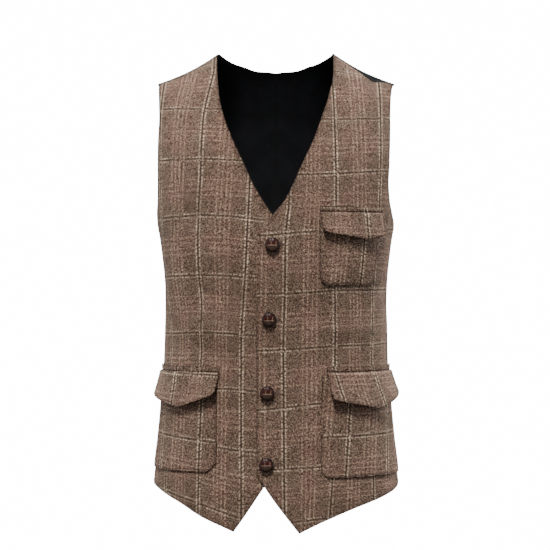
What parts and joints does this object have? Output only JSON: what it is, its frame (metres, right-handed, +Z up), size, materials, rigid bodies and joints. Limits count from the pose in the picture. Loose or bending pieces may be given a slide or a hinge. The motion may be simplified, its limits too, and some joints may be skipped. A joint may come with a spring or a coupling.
{
  "type": "suit waistcoat",
  "caption": "Single-breasted checked tweed waistcoat with a V neck, flapped patch pockets, domed leather buttons and a satin back, in its worn form.",
  "frame": {"origin": "between the wearer's shoulders, midway between the middles of the two shoulder seams' heights, in the plane of the shoulder ridge; the wearer's shoulders carry the waistcoat there", "axes": "+Z up along the wearer's body, -Y the way that the wearer faces, +X the wearer's left"},
  "size_m": [0.3366, 0.2448, 0.6462],
  "materials": {
    "tweed": "woollen tweed, brown and taupe melange twill with a cream windowpane check, matt and softly napped",
    "back_satin": "black lining satin, smooth with a soft sheen",
    "button_leather": "dark brown plaited leather, glazed on the high straps"
  },
  "bodies": {
    "root": {"front_left": "tweed", "front_right": "tweed", "back_left": "back_satin", "back_right": "back_satin", "chest_pocket": "tweed", "lower_pocket_left": "tweed", "lower_pocket_right": "tweed", "chest_flap": "tweed", "lower_flap_left": "tweed", "lower_flap_right": "tweed", "button_1": "button_leather", "button_2": "button_leather", "button_3": "button_leather", "button_4": "button_leather"}
  },
  "joints": []
}
